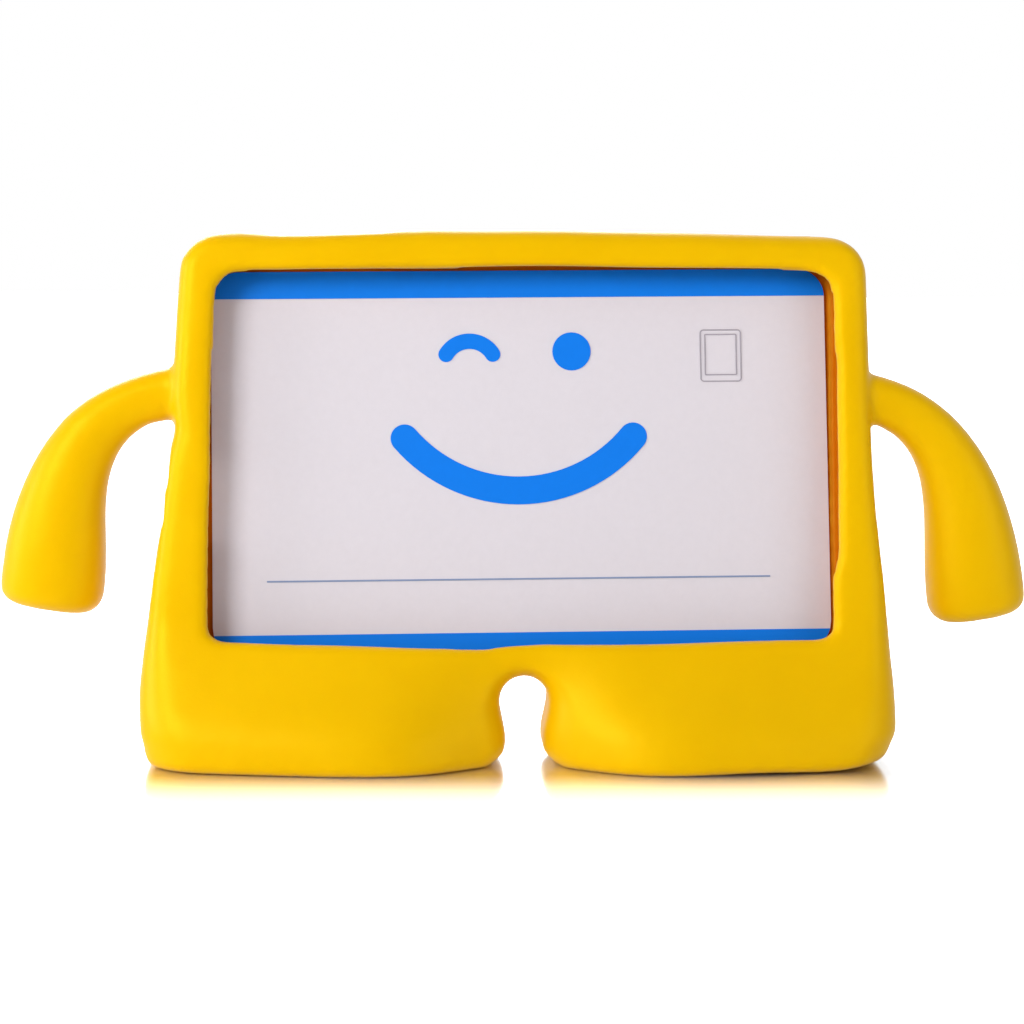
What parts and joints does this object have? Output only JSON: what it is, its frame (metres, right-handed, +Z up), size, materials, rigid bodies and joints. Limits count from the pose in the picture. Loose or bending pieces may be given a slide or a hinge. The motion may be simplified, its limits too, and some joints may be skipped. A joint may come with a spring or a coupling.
{
  "type": "kids tablet case",
  "caption": "One-piece moulded foam case for a small tablet, with two drooping carrying arms and two feet to stand on; a printed card lies in its pocket.",
  "frame": {"origin": "on the floor under the middle of the case: the centre of the bounding box's bottom face", "axes": "+X to the viewer's right as one faces the window, -Y to the front, +Z up"},
  "size_m": [0.311, 0.0637, 0.1583],
  "materials": {
    "foam": "satin moulded EVA foam, fine closed skin",
    "coated_card": "coated printing card, pale lilac grey, smooth",
    "blue_ink": "solid printed ink",
    "pale_blue_ink": "solid printed ink, fine line",
    "grey_ink": "solid printed ink, fine line"
  },
  "bodies": {
    "root": {"case": "foam", "display_card": "coated_card", "top_band": "blue_ink", "bottom_band": "blue_ink", "smile": "blue_ink", "open_eye": "blue_ink", "winking_eye": "blue_ink", "ruled_line": "pale_blue_ink", "tablet_outline": "grey_ink", "screen_outline": "grey_ink"}
  },
  "joints": []
}
